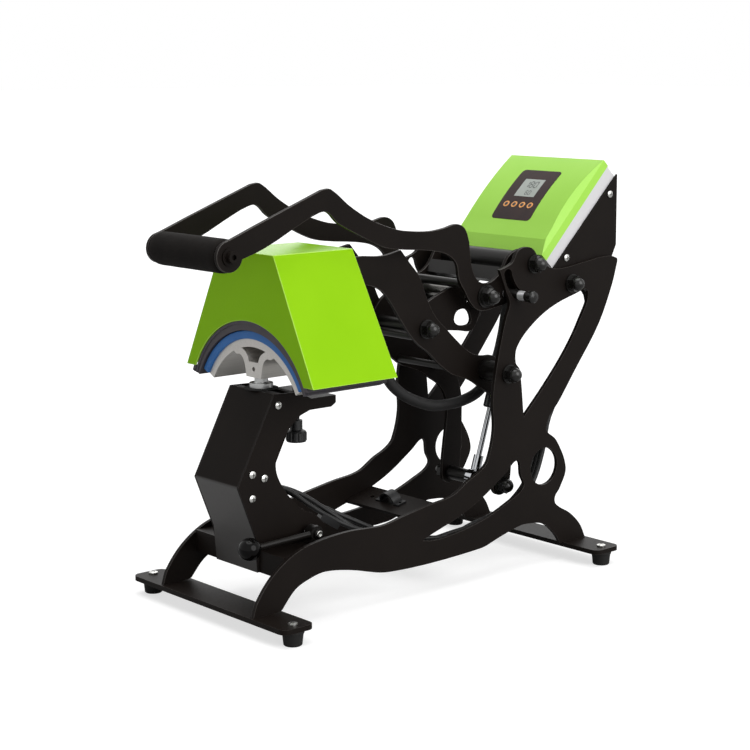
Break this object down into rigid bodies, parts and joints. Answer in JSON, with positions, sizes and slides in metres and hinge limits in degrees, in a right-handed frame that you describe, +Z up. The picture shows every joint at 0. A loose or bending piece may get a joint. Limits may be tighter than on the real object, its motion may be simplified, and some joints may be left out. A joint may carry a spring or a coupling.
{
  "type": "cap heat press",
  "caption": "Bench cap heat press: scroll-cut frame plates carry a curved heated platen in a green hood, closed by a long two-arm hand lever with a foam grip.",
  "frame": {"origin": "centre of the bounding box's underside, on the surface the rubber feet stand on", "axes": "+Z up, front with the grip and the pedestal towards -Y, +X to the right seen from the front"},
  "size_m": [0.301, 0.6275, 0.5139],
  "materials": {
    "black_powder_coat": "satin black powder coat",
    "black_rubber": "matt black rubber",
    "zinc_screws": "bright zinc plate",
    "steel_shafts": "turned steel",
    "cast_aluminium": "sand cast, machined rim",
    "blue_silicone": "blue silicone sponge",
    "green_paint": "gloss green paint",
    "green_plastic": "gloss green moulding",
    "white_plastic": "white moulding",
    "display_film": "dark printed film",
    "lcd_glass": "grey display",
    "button_caps": "orange caps",
    "black_plastic": "black moulding",
    "foam": "black foam",
    "heater_coating": "dark non-stick coating",
    "backing_mat": "dark grey mat",
    "grey_board": "grey insulation mat edge",
    "strut_paint": "gloss black paint",
    "chrome_rod": "chrome plate"
  },
  "bodies": {
    "stand": {"front_foot_bar": "black_powder_coat", "rear_foot_bar": "black_powder_coat", "rubber_feet": "black_rubber", "foot_screws": "zinc_screws", "frame_plate_left": "black_powder_coat", "frame_plate_right": "black_powder_coat", "front_cross_panel": "black_powder_coat", "cross_plate": "black_powder_coat", "cable_clip": "black_plastic", "pedestal_sides": "black_powder_coat", "pedestal_front": "black_powder_coat", "pedestal_top": "black_powder_coat", "pedestal_screws": "zinc_screws", "platen_post": "steel_shafts", "lower_platen": "cast_aluminium", "platen_pad": "blue_silicone", "pivot_shafts": "steel_shafts", "shaft_spacers": "black_powder_coat", "frame_cap_nuts": "black_powder_coat", "controller_bracket": "black_powder_coat", "controller_base": "white_plastic", "controller_cover": "green_plastic", "display_window": "display_film", "display_screen": "lcd_glass", "bracket_screws": "zinc_screws", "power_inlet": "black_plastic", "base_cables": "black_rubber"},
    "lever": {"lever_arm_left": "black_powder_coat", "lever_arm_right": "black_powder_coat", "grip_core": "steel_shafts", "foam_grip": "foam", "grip_bolts": "black_powder_coat", "lever_tie_bars": "black_powder_coat", "lever_sleeve": "black_powder_coat", "elbow_shaft": "steel_shafts", "elbow_nuts": "black_powder_coat", "stop_studs": "zinc_screws", "stud_heads": "black_plastic"},
    "platen_crank": {"crank_arm_left": "black_powder_coat", "crank_arm_right": "black_powder_coat", "crank_rods": "black_powder_coat", "crank_shafts": "steel_shafts", "crank_nuts": "black_powder_coat", "platen_hanger": "steel_shafts", "housing_shell": "green_paint", "insulation_lip": "grey_board", "heater_platen": "heater_coating", "heater_backing": "backing_mat", "conduit": "black_rubber"},
    "links": {"toggle_links": "black_powder_coat"},
    "strut_tube": {"strut_cylinder": "strut_paint"},
    "strut_piston": {"strut_rod": "chrome_rod"},
    "knob": {"adjusting_knob": "black_plastic"},
    "tension_lever": {"ball_lever": "steel_shafts", "ball_knob": "black_plastic"},
    "key_1": {"button_1": "button_caps"},
    "key_2": {"button_2": "button_caps"},
    "key_3": {"button_3": "button_caps"},
    "key_4": {"button_4": "button_caps"},
    "rocker": {"rocker_switch": "black_plastic"}
  },
  "joints": [
    {"name": "lever_swing", "type": "hinge", "parent": "stand", "child": "lever", "pos_m": [0, 0.1558, 0.3904], "axis": [-1, 0, 0], "range_deg": [0, 42]},
    {"name": "platen_lift", "type": "hinge", "parent": "stand", "child": "platen_crank", "pos_m": [0, 0.113, 0.2562], "axis": [-1, 0, 0], "range_deg": [0, 9.24], "deforming": ["conduit"]},
    {"name": "link_turn", "type": "hinge", "parent": "platen_crank", "child": "links", "pos_m": [0, 0.0126, 0.3175], "axis": [-1, 0, 0], "range_deg": [-35.91, 0]},
    {"name": "strut_tilt", "type": "hinge", "parent": "stand", "child": "strut_tube", "pos_m": [0, 0.2241, 0.3605], "axis": [-1, 0, 0], "range_deg": [0, 4.66]},
    {"name": "strut_extend", "type": "slide", "parent": "strut_tube", "child": "strut_piston", "axis": [0, -0.3062, -0.952], "range_m": [0, 0.01107]},
    {"name": "knob_turn", "type": "hinge", "parent": "stand", "child": "knob", "pos_m": [0, -0.1504, 0.206], "axis": [0, 0, 1], "continuous": true},
    {"name": "tension_swing", "type": "hinge", "parent": "stand", "child": "tension_lever", "pos_m": [0, -0.1704, 0.096], "axis": [-1, 0, 0], "range_deg": [0, 50]},
    {"name": "key_1_press", "type": "slide", "parent": "stand", "child": "key_1", "axis": [0, 0.7157, -0.6984], "range_m": [0, 0.0012], "stiffness_N_per_m": 1500, "springref_m": -0.0003},
    {"name": "key_2_press", "type": "slide", "parent": "stand", "child": "key_2", "axis": [0, 0.7157, -0.6984], "range_m": [0, 0.0012], "stiffness_N_per_m": 1500, "springref_m": -0.0003},
    {"name": "key_3_press", "type": "slide", "parent": "stand", "child": "key_3", "axis": [0, 0.7157, -0.6984], "range_m": [0, 0.0012], "stiffness_N_per_m": 1500, "springref_m": -0.0003},
    {"name": "key_4_press", "type": "slide", "parent": "stand", "child": "key_4", "axis": [0, 0.7157, -0.6984], "range_m": [0, 0.0012], "stiffness_N_per_m": 1500, "springref_m": -0.0003},
    {"name": "power_rock", "type": "hinge", "parent": "stand", "child": "rocker", "pos_m": [0.036, 0.25023, 0.42629], "axis": [-1, 0, 0], "range_deg": [0, 12]}
  ],
  "couplings": [
    {"joint": "platen_lift", "follows": "lever_swing", "ratio": 0.22},
    {"joint": "link_turn", "follows": "lever_swing", "ratio": -0.855},
    {"joint": "strut_tilt", "follows": "lever_swing", "ratio": 0.111},
    {"joint": "strut_extend", "follows": "lever_swing", "m_per_rad": 0.015097}
  ]
}
